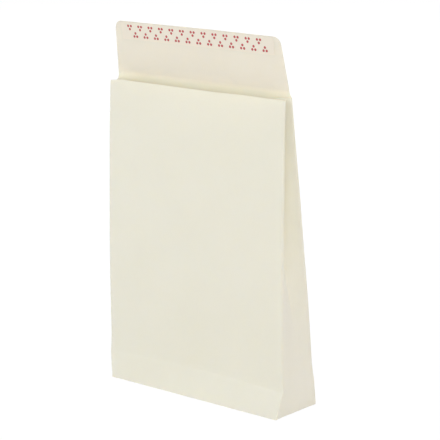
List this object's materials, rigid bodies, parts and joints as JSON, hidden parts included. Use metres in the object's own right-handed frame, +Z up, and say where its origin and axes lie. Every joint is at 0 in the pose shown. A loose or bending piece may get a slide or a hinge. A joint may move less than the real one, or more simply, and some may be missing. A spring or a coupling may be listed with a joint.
{
  "type": "gusseted paper envelope",
  "caption": "Gusseted paper pocket envelope with a block bottom, standing open on its base with its peel and seal flap up.",
  "frame": {"origin": "on the ground under the middle of the envelope's box, which is the middle of its opened base", "axes": "+X along the width, +Y from the near panel to the far panel that carries the flap, +Z up to the mouth"},
  "size_m": [0.229, 0.064, 0.3841],
  "materials": {
    "manilla_paper": "uncoated cream paper, smooth, faintly fibrous",
    "adhesive": "thin hot-melt adhesive film under the liner",
    "liner_paper": "siliconised white paper, slight sheen",
    "red_ink": "red print on the liner"
  },
  "bodies": {
    "root": {"envelope": "manilla_paper", "adhesive_strip": "adhesive", "release_liner": "liner_paper", "liner_dots": "red_ink"}
  },
  "joints": []
}
